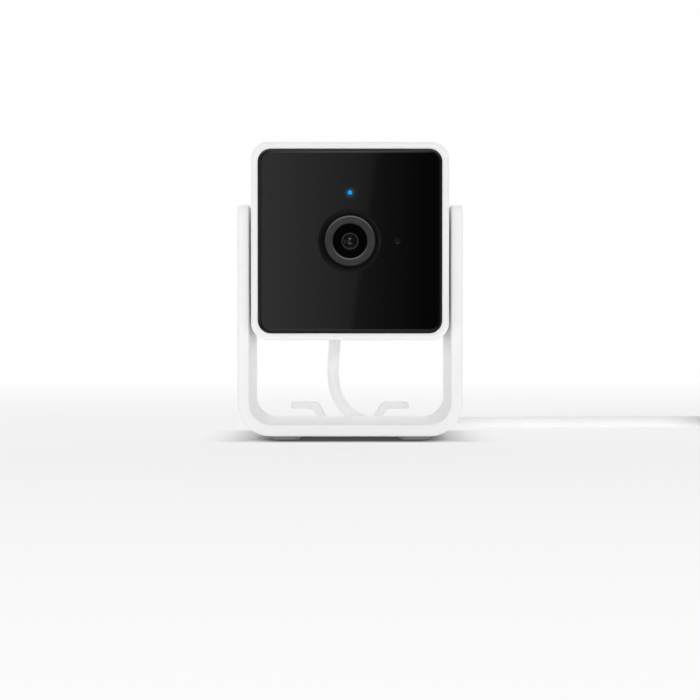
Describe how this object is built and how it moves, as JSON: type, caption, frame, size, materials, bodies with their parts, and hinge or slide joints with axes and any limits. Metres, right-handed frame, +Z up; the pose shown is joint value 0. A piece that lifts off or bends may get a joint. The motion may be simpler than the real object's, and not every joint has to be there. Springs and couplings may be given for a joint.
{
  "type": "pet camera",
  "caption": "Cube-shaped indoor pet camera with a glossy black front and a round lens, tilting in a U-shaped white table stand with a rear cord cleat, and its USB power cord.",
  "frame": {"origin": "on the table, under the middle of the object's box without its cord", "axes": "+X to the right seen from the front, +Y from the lens to the back, +Z up"},
  "size_m": [0.1895, 0.0609, 0.0784],
  "materials": {
    "white_plastic": "satin moulded white plastic",
    "foot_rubber": "matt grey rubber",
    "pivot_plastic": "natural low-friction plastic",
    "plated_steel": "bright zinc plate",
    "panel_black": "polished black",
    "black_plastic": "matt black",
    "ring_metal": "satin dark grey",
    "lens_glass": "coated optical glass",
    "filter_glass": "infrared-blocking coat",
    "copper_wire": "enamelled winding",
    "sensor_chip": "glossy chip",
    "circuit_board": "green solder mask",
    "led_resin": "clear resin",
    "status_blue": "lit blue window",
    "microphone_metal": "gold-plated can",
    "soft_black": "black foam rubber",
    "flex_film": "amber film",
    "thermal_gel": "grey-blue gel",
    "bare_aluminium": "rolled sheet",
    "magnet_iron": "plated",
    "cone_paper": "pressed paper",
    "cord_white": "white cord jacket",
    "tie_strap": "black hook-and-loop strap"
  },
  "bodies": {
    "stand": {"stand_bracket": "white_plastic", "foot_left": "foot_rubber", "foot_right": "foot_rubber", "cord_cleat": "white_plastic", "friction_ring_left": "pivot_plastic", "friction_ring_right": "pivot_plastic", "pivot_springs": "plated_steel", "pivot_washers": "plated_steel", "pivot_screws": "plated_steel", "cord_drop": "cord_white", "cord_run": "cord_white", "cord_coil": "cord_white", "cord_tie": "tie_strap", "far_plug": "cord_white", "far_plug_shell": "plated_steel"},
    "reset_key": {"reset_button": "white_plastic"},
    "ir_cut": {"ir_cut_slider": "black_plastic", "ir_filter": "filter_glass", "clear_filter": "lens_glass"},
    "head": {"head_shell": "white_plastic", "rear_cover": "white_plastic", "pivot_bush_left": "pivot_plastic", "pivot_bush_right": "pivot_plastic", "sensor_screws": "plated_steel", "main_board_screws": "plated_steel", "rear_cover_screws": "plated_steel", "shield_can": "plated_steel", "usb_socket": "plated_steel", "usb_plug_tip": "plated_steel", "front_panel": "panel_black", "panel_tape": "black_plastic", "lens_surround": "black_plastic", "lens_barrel": "black_plastic", "lens_holder": "black_plastic", "inner_frame": "black_plastic", "speaker_frame": "black_plastic", "reset_switch": "black_plastic", "lens_ring": "ring_metal", "lens_retainer": "ring_metal", "front_lens": "lens_glass", "rear_lens": "lens_glass", "ir_cut_coil": "copper_wire", "image_sensor": "sensor_chip", "sensor_board": "circuit_board", "ir_led_board": "circuit_board", "main_board": "circuit_board", "wifi_antenna": "circuit_board", "ir_leds": "led_resin", "status_led": "led_resin", "light_pipe": "status_blue", "microphone": "microphone_metal", "mic_boot": "soft_black", "speaker_gasket": "soft_black", "board_flex": "flex_film", "thermal_pad": "thermal_gel", "heat_spreader": "bare_aluminium", "speaker_magnet": "magnet_iron", "speaker_cone": "cone_paper", "usb_plug": "cord_white", "plug_strain_relief": "cord_white"}
  },
  "joints": [
    {"name": "head_tilt", "type": "hinge", "parent": "stand", "child": "head", "pos_m": [0, 0.0009, 0.0526], "axis": [1, 0, 0], "range_deg": [-30, 45], "deforming": ["cord_drop"]},
    {"name": "reset_press", "type": "slide", "parent": "head", "child": "reset_key", "axis": [0, -1, 0], "range_m": [0, 0.0005], "stiffness_N_per_m": 400, "springref_m": -0.001},
    {"name": "ir_cut_slide", "type": "slide", "parent": "head", "child": "ir_cut", "axis": [-1, 0, 0], "range_m": [0, 0.0055]}
  ]
}
